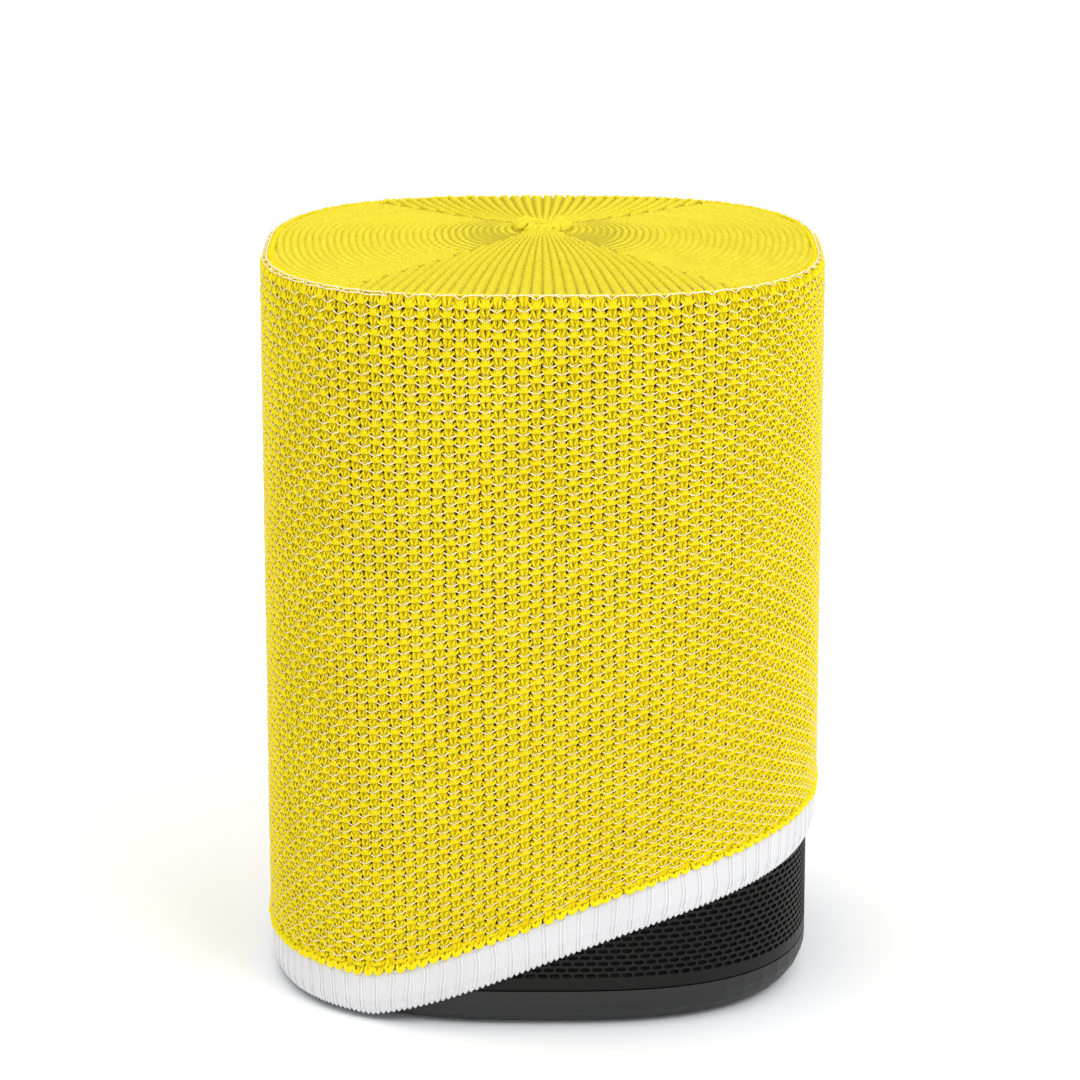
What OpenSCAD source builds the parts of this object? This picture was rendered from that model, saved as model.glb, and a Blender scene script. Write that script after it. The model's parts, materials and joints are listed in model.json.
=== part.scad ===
// Smart speaker with a pull-on knitted cover, built as an assembly of separate pieces.
// Millimetres, +Z up, front towards -Y, origin on the resting plane under the middle of the body.

/* [Body] */
// Half of the body's width and depth
body_a = 60; // [58:1:62]
// Squareness of the body's rounded-square outline, where 2 is a circle
body_n = 2.8; // [2.4:0.1:3.4]
// Height of the body from the resting plane to the top cap
body_h = 160.5; // [158:0.5:164]
// Height of the seam between the base and the grille
seam_z = 9; // [8:0.5:10]

/* [Cover] */
// Thickness of the knitted fabric
cover_t = 2.1; // [1.5:0.1:2.5]
// Width of the white ribbed hem band
hem_w = 9; // [7:0.5:11]
// Height of the hem's lower edge on the side that is pulled down
hem_low = 1.6; // [1.2:0.1:4]
// Height of the hem's lower edge on the side that is still up
hem_high = 33; // [20:1:50]

/* [Drivers] */
// Outer radius of the woofer's flange
woofer_r = 39; // [36:0.5:40]
// Height of the woofer's axis
woofer_z = 67; // [66:0.5:68]
// Outer radius of the tweeter's faceplate
tweeter_r = 18; // [16:0.5:18]
// Height of the tweeter's axis
tweeter_z = 127.5; // [126:0.5:129]

/* [Controls] */
// Radius of each top button
button_r = 5; // [4:0.5:6]
// Distance of the top buttons from the middle
button_place = 20; // [16:1:22]

/* [Hidden] */
$fn = 48;
eps = 0.01;
outline_steps = 72;

// Fits
gap = 0.15;           // between fixed pieces
cover_gap = 0.4;      // between the cover and the body
button_gap = 0.3;     // around a moving button

// Base
foot_a = body_a - 6;
foot_h = 1.4;
base_bottom = 0.8;
base_floor = 3.4;
base_wall = 3;
lip_h = 3;
seam_gap = 0.3;
post_x = 36;
post_y = 24;
post_r = 4.5;
screw_r = 1.45;
head_r = 2.8;
recess_x = 13;
recess_y0 = 16;
recess_y1 = 38;
recess_top = 11;
channel_x = 4.5;
channel_top = 7.4;

// Grille and its rear window
grille_t = 0.8;
grille_top = body_h - 8.8;
scrim_t = 0.4;
window_x = 20;
window_top = 60;
panel_t = 2.6;

// Cabinet
cab_a = body_a - 5;
cab_wall = 3;
cab_z0 = 24;
cab_z1 = body_h - 12.5;
baffle_y = -40;
baffle_t = 4;
gasket_t = 0.8;
cab_back = 34;
boss_x = 44;
boss_y = 16;

// Top cap and control board
cap_z0 = grille_top + 0.3;
cap_t = 2.2;
cap_in = body_h - cap_t;
board_t = 1.6;
board_r = 45;
board_top = cap_in - 4.3;
ring_r0 = 30;
ring_r1 = 32.4;
ring_t = 1.6;
led_n = 12;
mic_r = 38;
mic_n = 4;
cap_screw_r = 36;
switch_h = 2.2;

// Power board
psu_z = 7.4;
main_x = 38;
main_y = 38;
main_z0 = 24;
main_z1 = 138;
jack_z = 31;
jack_w = 16;
jack_h = 13.4;
jack_d = 19.7;
pair_z = 52;
pair_r = 4;
inlet_lobe = 4.3;
inlet_r = 4.6;
inlet_h = 12.8;

// Woofer, measured along its own axis from the baffle's front face
cone_edge_r = 26.5;
cone_neck_r = 10.6;
cone_neck_z = -9;
coil_r = 10;
pole_r = 9.4;
plate_z = -20;
spider_z = -14.5;
plate_t = 5;
magnet_t = 11;
yoke_t = 4;
lead_w = 1.4;
lead_z = 29;
lead_out_z = 51.3;

// Rounded-square outline of half width a, as a polar curve.
function outline_r(a, t) = a * pow(pow(abs(cos(t)), body_n) + pow(abs(sin(t)), body_n), -1 / body_n);
function outline(a) = [
    for (i = [0 : outline_steps - 1])
        let (t = (i + 0.5) * 360 / outline_steps) [outline_r(a, t) * cos(t), outline_r(a, t) * sin(t)]
];

// Height of the hem's lower edge round the body: t is the angle from +X, the side still up.
function hem_share(t) = min(1, max(0, (125 - abs(t)) / 105));
function hem_z(t) = hem_low + (hem_high - hem_low) * pow(sin(90 * hem_share(t)), 1.2);
function turned(t) = t > 180 ? t - 360 : t;

module prism(a, z0, z1) {
    translate([0, 0, z0]) linear_extrude(z1 - z0) polygon(outline(a));
}

module ring_prism(a_out, a_in, z0, z1) {
    translate([0, 0, z0]) linear_extrude(z1 - z0) difference() {
        polygon(outline(a_out));
        polygon(outline(a_in));
    }
}

// A closed solid through rings of points, from the lowest ring to the highest.
module loft(rings) {
    n = len(rings[0]);
    m = len(rings);
    points = [for (ring = rings) for (p = ring) p];
    sides = [
        for (k = [0 : m - 2]) for (i = [0 : n - 1])
            let (j = (i + 1) % n) [k * n + i, (k + 1) * n + i, (k + 1) * n + j, k * n + j]
    ];
    bottom = [for (i = [0 : n - 1]) i];
    top = [for (i = [n - 1 : -1 : 0]) (m - 1) * n + i];
    polyhedron(points, concat([bottom, top], sides), convexity = 4);
}

function level(a, z) = [for (p = outline(a)) [p.x, p.y, z]];

// A closed band round the body: the rings go down the outside and up the inside.
module band(rings) {
    n = len(rings[0]);
    m = len(rings);
    points = [for (ring = rings) for (p = ring) p];
    faces = [
        for (k = [0 : m - 1]) for (i = [0 : n - 1])
            let (j = (i + 1) % n, l = (k + 1) % m) [k * n + i, k * n + j, l * n + j, l * n + i]
    ];
    polyhedron(points, faces, convexity = 6);
}

// Ring of half width a whose height follows the hem, raised by rise.
function hem_ring(a, rise) = [
    for (i = [0 : outline_steps - 1])
        let (t = (i + 0.5) * 360 / outline_steps, r = outline_r(a, t))
            [r * cos(t), r * sin(t), hem_z(turned(t)) + rise]
];

module at_four(x, y) {
    for (sx = [-1, 1]) for (sy = [-1, 1]) translate([sx * x, sy * y, 0]) children();
}

module box(x, y, z) {
    translate([x[0], y[0], z[0]]) cube([x[1] - x[0], y[1] - y[0], z[1] - z[0]]);
}

module rod(r, z0, z1) {
    translate([0, 0, z0]) cylinder(r = r, h = z1 - z0);
}

module tube(r_out, r_in, z0, z1) {
    difference() {
        rod(r_out, z0, z1);
        rod(r_in, z0 - 1, z1 + 1);
    }
}

// Screw standing on its tip at z0 with its head at the top.
module screw(r, tip, seat, head, head_h) {
    rod(r, tip, seat + eps);
    difference() {
        rod(head, seat, seat + head_h);
        translate([0, 0, seat + head_h / 2]) cylinder(r = head * 0.45, h = head_h, $fn = 6);
    }
}

// Puts a part that is drawn along +Z on a driver's axis, facing the front.
module on_woofer() { translate([0, baffle_y, woofer_z]) rotate([90, 0, 0]) children(); }
module on_tweeter() { translate([0, baffle_y, tweeter_z]) rotate([90, 0, 0]) children(); }

// ---- Base ----

module power_recess() {
    box([-recess_x, recess_x], [recess_y0, recess_y1], [-1, recess_top]);
    box([-channel_x, channel_x], [recess_y1 - eps, body_a + 2], [-1, channel_top]);
}

module foot_pad() {
    color("dimgray") difference() {
        prism(foot_a, 0, foot_h);
        ring_prism(foot_a - 3, foot_a - 4.5, -1, 0.5);
        box([-recess_x - 1, recess_x + 1], [recess_y0 - 1, body_a], [-1, foot_h + 1]);
        at_four(post_x, post_y) rod(head_r + 0.6, -1, foot_h + 1);
    }
}

module base_housing() {
    color([0.09, 0.09, 0.09]) difference() {
        union() {
            difference() {
                loft([
                    level(body_a - 4, base_bottom), level(body_a - 2.3, 1.8),
                    level(body_a - 0.9, 3.6), level(body_a, 6), level(body_a, seam_z - seam_gap)
                ]);
                prism(body_a - base_wall, base_floor, seam_z + 1);
            }
            ring_prism(body_a - grille_t - gap, body_a - base_wall, seam_z - seam_gap - eps,
                       seam_z + lip_h);
            box([-recess_x - 1.6, recess_x + 1.6], [recess_y0 - 1.6, recess_y1 + 1.6],
                [base_floor - 1, recess_top + 1.6]);
            intersection() {
                box([-channel_x - 1.6, channel_x + 1.6], [recess_y1, body_a],
                    [base_floor - 1, channel_top + 1.6]);
                prism(body_a - base_wall + eps, 0, 20);
            }
            at_four(post_x, post_y) rod(post_r, base_floor - 1, cab_z0);
        }
        prism(foot_a + gap, 0, foot_h);
        power_recess();
        translate([0, 27, 0]) inlet_outline(0.2, recess_top - 1, recess_top + 5);
        at_four(post_x, post_y) {
            rod(head_r + 0.4, 0, 8);
            rod(screw_r + 0.25, 0, cab_z0 + 1);
        }
    }
}

module base_screws() {
    color("silver") at_four(post_x, post_y)
        translate([0, 0, 38]) rotate([180, 0, 0]) screw(screw_r, 7, 30, head_r, 2.4);
}

// Figure-eight outline of the mains inlet.
module inlet_outline(grow, z0, z1) {
    for (s = [-1, 1]) translate([s * inlet_lobe, 0, 0]) rod(inlet_r + grow, z0, z1);
    box([-inlet_lobe, inlet_lobe], [-inlet_r - grow, inlet_r + grow], [z0, z1]);
}

module power_inlet() {
    color([0.13, 0.13, 0.13]) translate([0, 27, 0]) difference() {
        union() {
            inlet_outline(0, recess_top, recess_top + inlet_h);
            box([-11, 11], [-7, 7], [recess_top + 1.6 + gap, recess_top + 3]);
        }
        inlet_outline(-1, recess_top - 1, recess_top + inlet_h - 2);
    }
}

module inlet_pins() {
    color("gold") translate([0, 27, 0]) for (s = [-1, 1]) translate([s * inlet_lobe, 0, 0])
        rod(1.2, recess_top + 2.5, recess_top + inlet_h - 2);
}

module power_board() {
    color([0.05, 0.35, 0.2]) difference() {
        intersection() {
            prism(body_a - base_wall - 1, psu_z, psu_z + board_t);
            box([-50, 50], [-52, recess_y0 - 3], [0, 20]);
        }
        at_four(post_x, post_y) rod(post_r + 0.6, 0, 20);
    }
    color([0.05, 0.35, 0.2]) for (s = [-1, 1]) translate([s * 18, -44, 0])
        rod(2, base_floor, psu_z);
    color([0.05, 0.35, 0.2]) for (s = [-1, 1]) translate([s * 20, 8, 0])
        rod(2, base_floor, psu_z);
}

module power_transformer() {
    z = psu_z + board_t;
    color("goldenrod") box([-12, 12], [-16, 4], [z + 1.5, z + 10.5]);
    color([0.15, 0.15, 0.15]) {
        box([-14, 14], [-18, 6], [z, z + 1.5]);
        box([-14, 14], [-18, 6], [z + 10.5, z + 12]);
    }
}

module power_capacitors() {
    z = psu_z + board_t;
    color([0.1, 0.1, 0.3]) {
        for (x = [-26, 26]) translate([x, -12, 0]) rod(5, z, z + 13);
        for (x = [-14, 0, 14]) translate([x, -30, 0]) rod(4, z, z + 12);
        translate([26, 2, 0]) rod(3.4, z, z + 9);
    }
}

module power_heat_sink() {
    z = psu_z + board_t;
    color("silver") {
        box([-30, 30], [-42, -40.4], [z, z + 12]);
        for (x = [-28 : 8 : 28]) box([x - 0.6, x + 0.6], [-46, -42 + eps], [z + 2, z + 12]);
    }
}

// ---- Grille and rear panel ----

module rear_window(grow, a_in) {
    box([-window_x - grow, window_x + grow], [a_in, body_a + 2], [-1, window_top + grow]);
}

module grille() {
    color([0.12, 0.12, 0.12]) difference() {
        ring_prism(body_a, body_a - grille_t, seam_z, grille_top);
        rear_window(0, 30);
    }
}

module grille_scrim() {
    color([0.03, 0.03, 0.03]) difference() {
        ring_prism(body_a - grille_t - 0.1, body_a - grille_t - 0.1 - scrim_t,
                   seam_z + lip_h + 0.2, grille_top - 0.4);
        rear_window(1, 30);
    }
}

module rear_panel() {
    color([0.1, 0.1, 0.1]) difference() {
        intersection() {
            union() {
                ring_prism(body_a - 0.2, body_a - panel_t, seam_z + lip_h + 0.2, window_top - gap);
                ring_prism(body_a - 0.2, body_a - grille_t - gap + eps, seam_z, seam_z + lip_h + 1);
            }
            box([-window_x + gap, window_x - gap], [30, body_a], [0, window_top]);
        }
        box([-jack_w / 2 - gap, jack_w / 2 + gap], [30, body_a + 1],
            [jack_z - jack_h / 2 - gap, jack_z + jack_h / 2 + gap]);
        translate([0, 40, pair_z]) rotate([-90, 0, 0]) cylinder(r = pair_r + button_gap, h = 30);
    }
}

module pairing_button() {
    color([0.2, 0.2, 0.2]) translate([0, 0, pair_z]) rotate([-90, 0, 0]) {
        rod(pair_r, 57.2 - eps, body_a - 0.6);
        rod(pair_r + 1.2, 56.4, 57.2);
        rod(1.5, main_y + board_t + 3, 56.4 + eps);
    }
}

module ethernet_jack() {
    y1 = body_a - 0.6;
    color("silver") difference() {
        box([-jack_w / 2, jack_w / 2], [y1 - jack_d, y1],
            [jack_z - jack_h / 2, jack_z + jack_h / 2]);
        box([-5.9, 5.9], [y1 - 13, y1 + 1], [jack_z - 4, jack_z + 3.4]);
        box([-3.2, 3.2], [y1 - 13, y1 + 1], [jack_z - 5.6, jack_z - 4 + eps]);
    }
}

module main_board() {
    color([0.05, 0.35, 0.2]) box([-main_x, main_x], [main_y, main_y + board_t], [main_z0, main_z1]);
}

module main_chips() {
    y = main_y + board_t;
    color([0.12, 0.12, 0.12]) {
        box([-3, 3], [y, y + 1.6], [pair_z - 3, pair_z + 3]);
        box([-30, -18], [y, y + 1.4], [70, 82]);
        box([-30, -20], [y, y + 1.2], [88, 98]);
        box([22, 30], [y, y + 1.2], [36, 48]);
        box([-32, -22], [y, y + 6], [30, 44]);
        for (z = [56 : 7 : 84]) box([24, 28], [y, y + 2.5], [z, z + 4]);
    }
}

module shield_can() {
    y = main_y + board_t;
    color("silver") box([-14, 14], [y, y + 2.4], [104, 130]);
}

module amplifier_heat_sink() {
    y = main_y + board_t;
    color("silver") {
        box([-12, 18], [y, y + 2], [66, 96]);
        for (x = [-11 : 4 : 17]) box([x - 0.5, x + 0.5], [y + 2 - eps, y + 10], [66, 96]);
    }
}

module wifi_antenna(side) {
    color([0.05, 0.3, 0.18]) translate([side * 43.5, 0, 0])
        box([-4.5, 4.5], [cab_back + 0.05, cab_back + 0.85], [96, 132]);
}

// ---- Cabinet ----

module cabinet_slice(a, y0, y1, z0, z1) {
    intersection() {
        prism(a, z0, z1);
        box([-body_a, body_a], [y0, y1], [z0 - 1, z1 + 1]);
    }
}

module at_cabinet_screws() {
    for (z = [cab_z0 + 6, cab_z1 - 6]) for (s = [-1, 1]) translate([s * 42, 0, z]) children();
    for (s = [-1, 1]) translate([s * 42, 0, (cab_z0 + cab_z1) / 2]) children();
}

module cabinet_shell() {
    y0 = baffle_y + baffle_t + gasket_t;
    color([0.16, 0.16, 0.17]) difference() {
        union() {
            difference() {
                cabinet_slice(cab_a, y0, cab_back, cab_z0, cab_z1);
                cabinet_slice(cab_a - cab_wall, y0 - 1, cab_back - cab_wall,
                              cab_z0 + cab_wall, cab_z1 - cab_wall);
            }
            at_four(post_x, post_y) rod(4, cab_z0 + 1, cab_z0 + 10);
            intersection() {
                at_cabinet_screws() rotate([-90, 0, 0]) rod(4.5, y0, y0 + 12);
                cabinet_slice(cab_a - 1, y0, 0, cab_z0, cab_z1);
            }
        }
        at_four(post_x, post_y) rod(screw_r + 0.05, cab_z0 - 1, cab_z0 + 8);
        at_four(boss_x, boss_y) rod(screw_r + 0.25, cab_z1 - cab_wall - 1, cab_z1 + 1);
        at_cabinet_screws() rotate([-90, 0, 0]) rod(screw_r + 0.05, y0 - 1, y0 + 10);
        translate([0, 0, lead_out_z + lead_w / 2]) rotate([-90, 0, 0])
            rod(4.6, cab_back - cab_wall - 1, cab_back + 1);
    }
}

module cabinet_baffle() {
    color([0.14, 0.14, 0.15]) difference() {
        cabinet_slice(cab_a, baffle_y, baffle_y + baffle_t, cab_z0, cab_z1);
        on_woofer() rod(woofer_r - 6, -baffle_t - 1, 1);
        on_tweeter() rod(14.2, -baffle_t - 1, 1);
        at_cabinet_screws() rotate([-90, 0, 0]) rod(screw_r + 0.25, baffle_y - 1, baffle_y + 6);
        on_woofer() at_woofer_screws() rod(screw_r + 0.05, -baffle_t - 1, 1);
        on_tweeter() at_tweeter_screws() rod(1.05, -baffle_t - 1, 1);
    }
}

module cabinet_gasket() {
    y = baffle_y + baffle_t;
    color([0.25, 0.25, 0.25]) difference() {
        cabinet_slice(cab_a - 0.3, y, y + gasket_t, cab_z0, cab_z1);
        translate([0, y - 1, (cab_z0 + cab_z1) / 2])
            box([-38, 38], [0, 4], [-57, 57]);
        at_cabinet_screws() rotate([-90, 0, 0]) rod(screw_r + 0.25, y - 1, y + 3);
    }
}

module cabinet_screws() {
    color("silver") at_cabinet_screws() translate([0, baffle_y, 0]) rotate([90, 0, 0])
        screw(screw_r, -12, 0, head_r, 1.8);
}

module damping_wadding() {
    color("whitesmoke") box([-36, 36], [cab_back - cab_wall - 9, cab_back - cab_wall - 0.2],
                            [cab_z0 + 40, cab_z1 - 6]);
}

// ---- Woofer ----

module at_woofer_screws() {
    for (k = [0 : 3]) rotate([0, 0, 45 + 90 * k]) translate([woofer_r - 3, 0, 0]) children();
}

module woofer_basket() {
    color([0.2, 0.2, 0.21]) on_woofer() difference() {
        union() {
            tube(woofer_r, 30.2, 0, 3);
            rotate_extrude() polygon([
                [30.2, 0.5], [32.4, 0.5], [32.4, -3], [26, plate_z + 2], [26, plate_z],
                [12, plate_z], [12, plate_z + 2], [23, plate_z + 2], [23, spider_z - 0.3],
                [25.4, spider_z - 0.3], [30.2, -3]
            ]);
        }
        for (k = [0 : 5]) rotate([0, 0, 60 * k]) translate([22, -5, -13]) cube([14, 10, 8]);
        at_woofer_screws() rod(screw_r + 0.25, -1, 4);
    }
}

module woofer_surround() {
    color([0.07, 0.07, 0.07]) on_woofer() rotate_extrude() difference() {
        union() {
            translate([29.2, 3]) circle(r = 2.9);
            translate([31, 3]) square([2, 0.5]);
        }
        translate([29.2, 3]) circle(r = 2.4);
        translate([24, 0]) square([12, 3]);
    }
}

module woofer_cone() {
    color([0.1, 0.1, 0.11]) on_woofer() rotate_extrude() polygon([
        [cone_neck_r, cone_neck_z], [cone_edge_r - 0.8, 2.9], [cone_edge_r - 0.1, 2.9],
        [cone_edge_r - 0.1, 2.1], [cone_neck_r + 0.9, cone_neck_z]
    ]);
}

module woofer_dust_cap() {
    color([0.13, 0.13, 0.14]) on_woofer() rotate_extrude() intersection() {
        translate([0, cone_neck_z - 9.9]) difference() {
            circle(r = 14.4, $fn = 96);
            circle(r = 13.8, $fn = 96);
        }
        translate([0, cone_neck_z + eps]) square([20, 20]);
    }
}

module woofer_voice_coil() {
    color("peru") on_woofer() {
        tube(coil_r + 0.5, coil_r, plate_z - 6, cone_neck_z);
        tube(coil_r + 1, coil_r + 0.5 - eps, plate_z - 6, plate_z + 1);
    }
}

module woofer_spider() {
    roll = 2.4;
    color("darkgoldenrod") on_woofer() rotate_extrude() difference() {
        union() {
            for (r = [12.6 : roll : 21]) translate([r, spider_z]) circle(r = 1.45);
            translate([coil_r + 0.55, spider_z - 0.2]) square([1, 0.4]);
            translate([20.6, spider_z - 0.2]) square([4.5, 0.4]);
        }
        for (r = [12.6 : roll : 21]) translate([r, spider_z]) circle(r = 1.05);
        for (r = [12.6 : 2 * roll : 21]) translate([r - 1.2, spider_z - 2]) square([roll, 1.8]);
        for (r = [15 : 2 * roll : 21]) translate([r - 1.2, spider_z + 0.2]) square([roll, 1.8]);
    }
}

module woofer_top_plate() {
    color("silver") on_woofer() tube(25, coil_r + 1.6, plate_z - plate_t, plate_z);
}

module woofer_magnet() {
    z1 = plate_z - plate_t;
    color([0.15, 0.15, 0.16]) on_woofer() tube(26, 14, z1 - magnet_t, z1);
}

module woofer_yoke() {
    z1 = plate_z - plate_t - magnet_t;
    color("silver") on_woofer() difference() {
        union() {
            rod(25, z1 - yoke_t, z1);
            rod(pole_r, z1 - eps, plate_z + 0.5);
        }
        rod(3, z1 - yoke_t - 1, plate_z + 2);
    }
}

module woofer_screws() {
    color("silver") on_woofer() at_woofer_screws() screw(screw_r, -8, 3, head_r, 1.8);
}

module speaker_leads() {
    color("firebrick") for (x = [-4, 2.6]) {
        box([x, x + lead_w], [-12, -12 + lead_w], [lead_z, woofer_z - 27]);
        box([x, x + lead_w], [-12, 26], [lead_z, lead_z + lead_w]);
        box([x, x + lead_w], [26 - eps, 26 + lead_w], [lead_z, lead_out_z + lead_w]);
    }
    color("firebrick") for (x = [-4, 2.6])
        box([x, x + lead_w], [26, main_y - 0.1], [lead_out_z, lead_out_z + lead_w]);
}

// ---- Tweeter ----

module at_tweeter_screws() {
    for (a = [0, 180]) rotate([0, 0, a]) translate([tweeter_r - 2.4, 0, 0]) children();
}

module tweeter_faceplate() {
    color([0.12, 0.12, 0.12]) on_tweeter() difference() {
        rotate_extrude() polygon([
            [11.4, 0], [11.4, 0.8], [13.4, 2.5], [tweeter_r - 0.5, 2.5], [tweeter_r, 2], [tweeter_r, 0]
        ]);
        at_tweeter_screws() rod(1.25, -1, 4);
    }
}

module tweeter_dome() {
    color("darkslategray") on_tweeter() rotate_extrude() union() {
        intersection() {
            translate([0, -10.6]) difference() {
                circle(r = 14.6, $fn = 96);
                circle(r = 14.1, $fn = 96);
            }
            square([20, 20]);
        }
        translate([9.2, -3]) square([0.6, 3 + eps]);
    }
}

module tweeter_surround() {
    color([0.08, 0.08, 0.09]) on_tweeter() rotate_extrude() difference() {
        translate([10.75, 0.1]) circle(r = 0.6);
        translate([10.75, 0.1]) circle(r = 0.4);
        translate([9, -1]) square([3, 1.1]);
    }
}

module tweeter_magnet() {
    color([0.3, 0.3, 0.32]) on_tweeter() rotate_extrude() polygon([
        [0, -14], [13.6, -14], [13.6, -0.05], [11.4, -0.05], [11.4, -1.4],
        [10.6, -1.4], [10.6, -8], [8.4, -8], [8.4, -1.4], [0, -1.4]
    ]);
}

module tweeter_screws() {
    color("silver") on_tweeter() at_tweeter_screws() screw(1, -6, 2.5, 1.9, 1.2);
}

// ---- Top cap and controls ----

module at_buttons() {
    for (a = [0 : 90 : 270]) rotate([0, 0, a]) translate([button_place, 0, 0]) children();
}

module at_cap_screws() {
    for (k = [0 : 2]) rotate([0, 0, 30 + 120 * k]) translate([cap_screw_r, 0, 0]) children();
}

module top_cap() {
    color([0.09, 0.09, 0.09]) difference() {
        union() {
            difference() {
                loft([
                    level(body_a, cap_z0), level(body_a, body_h - 2.4),
                    level(body_a - 0.7, body_h - 0.8), level(body_a - 2.2, body_h)
                ]);
                prism(body_a - base_wall, cap_z0 - 1, cap_in);
            }
            at_four(boss_x, boss_y) rod(3.6, cab_z1 + 0.1, cap_in + eps);
            at_cap_screws() rod(2.6, board_top + 0.05, cap_in + eps);
        }
        at_four(boss_x, boss_y) rod(screw_r + 0.05, cab_z1 - 1, cab_z1 + 7);
        at_cap_screws() rod(1.05, board_top - 1, cap_in - 0.8);
        at_buttons() rod(button_r + button_gap, cap_in - 1, body_h + 1);
        tube(ring_r1 + 0.1, ring_r0 - 0.1, body_h - ring_t, body_h + 1);
        for (k = [0 : led_n - 1]) rotate([0, 0, 360 * k / led_n])
            translate([(ring_r0 + ring_r1) / 2, 0, 0]) rod(0.9, cap_in - 1, body_h);
        for (k = [0 : mic_n - 1]) rotate([0, 0, 45 + 360 * k / mic_n])
            translate([mic_r, 0, 0]) rod(0.7, cap_in - 1, body_h + 1);
    }
}

module top_cap_screws() {
    color("silver") {
        at_four(boss_x, boss_y) translate([0, 0, 2 * cab_z1 - cab_wall]) mirror([0, 0, 1])
            screw(screw_r, cab_z1 - cab_wall - 6, cab_z1, head_r, 2);
        at_cap_screws() translate([0, 0, 2 * board_top - board_t]) mirror([0, 0, 1])
            screw(1, board_top - board_t - 3, board_top, 1.9, 1.2);
    }
}

module light_ring() {
    color("ghostwhite") tube(ring_r1, ring_r0, body_h - ring_t + 0.05, body_h + 0.1);
}

module control_board() {
    z0 = board_top - board_t;
    color([0.05, 0.35, 0.2]) difference() {
        rod(board_r, z0, board_top);
        at_cap_screws() rod(1.25, z0 - 1, board_top + 1);
        at_four(boss_x, boss_y) rod(4.2, z0 - 1, board_top + 1);
    }
}

module control_switches() {
    color([0.7, 0.7, 0.72]) at_buttons() translate([0, 0, board_top])
        box([-3, 3], [-3, 3], [0, switch_h]);
}

module ring_leds() {
    color("white") for (k = [0 : led_n - 1]) rotate([0, 0, 360 * k / led_n])
        translate([(ring_r0 + ring_r1) / 2, 0, board_top]) box([-1.4, 1.4], [-1.4, 1.4], [0, 1.2]);
}

module microphones() {
    color("gold") for (k = [0 : mic_n - 1]) rotate([0, 0, 45 + 360 * k / mic_n])
        translate([mic_r, 0, 0]) {
            box([-2, 2], [-1.5, 1.5], [board_top, board_top + 1]);
            tube(1.6, 0.8, board_top + 1 - eps, cap_in - 0.05);
        }
}

module ribbon_cable() {
    z = board_top - board_t;
    color("lightgray") {
        box([-8, 8], [39, main_y + 6], [z - 1.2, z]);
        box([-8, 8], [main_y + 5.6, main_y + 6], [128 + 6, z - 1.2 + eps]);
        box([-8, 8], [main_y + board_t, main_y + 6], [132, 134 + eps]);
    }
}

// Button at a given angle round the top, with its retaining flange under the cap.
module top_button(angle, shade) {
    color(shade) rotate([0, 0, angle]) translate([button_place, 0, 0]) {
        rod(button_r, cap_in - 0.1, body_h + 0.3);
        rod(button_r + 1, cap_in - 0.95, cap_in - 0.05);
        rod(1.5, board_top + switch_h + 0.7, cap_in - 0.5);
    }
}

module volume_up_button() { top_button(0, [0.18, 0.18, 0.18]); }
module volume_down_button() { top_button(180, [0.18, 0.18, 0.18]); }
module play_button() { top_button(270, [0.22, 0.22, 0.22]); }
module mic_mute_button() { top_button(90, [0.3, 0.12, 0.1]); }

// ---- Knitted cover ----

cover_in = body_a + cover_gap;
cover_out = cover_in + cover_t;
cover_under = body_h + 0.6;

module cover_side() {
    color("yellow") band([
        level(cover_in, cover_under), level(cover_out, cover_under),
        hem_ring(cover_out, hem_w), hem_ring(cover_in, hem_w)
    ]);
}

module cover_top() {
    color("yellow") loft([
        level(cover_out, cover_under), level(cover_out - 0.3, cover_under + 1),
        level(cover_out - 1.2, cover_under + 2)
    ]);
}

module cover_hem() {
    color("white") band([
        hem_ring(cover_in, hem_w - 0.1), hem_ring(cover_out - 0.3, hem_w - 0.1),
        hem_ring(cover_out - 0.6, 0), hem_ring(cover_in, 0)
    ]);
}

foot_pad();
base_housing();
base_screws();
power_inlet();
inlet_pins();
power_board();
power_transformer();
power_capacitors();
power_heat_sink();
grille();
grille_scrim();
rear_panel();
pairing_button();
ethernet_jack();
main_board();
main_chips();
shield_can();
amplifier_heat_sink();
wifi_antenna(-1);  // wifi_antenna_left
wifi_antenna(1);  // wifi_antenna_right
cabinet_shell();
cabinet_baffle();
cabinet_gasket();
cabinet_screws();
damping_wadding();
woofer_basket();
woofer_surround();
woofer_cone();
woofer_dust_cap();
woofer_voice_coil();
woofer_spider();
woofer_top_plate();
woofer_magnet();
woofer_yoke();
woofer_screws();
speaker_leads();
tweeter_faceplate();
tweeter_dome();
tweeter_surround();
tweeter_magnet();
tweeter_screws();
top_cap();
top_cap_screws();
light_ring();
control_board();
control_switches();
ring_leds();
microphones();
ribbon_cable();
volume_up_button();
volume_down_button();
play_button();
mic_mute_button();
cover_side();
cover_top();
cover_hem();
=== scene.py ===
import json
import math

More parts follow.
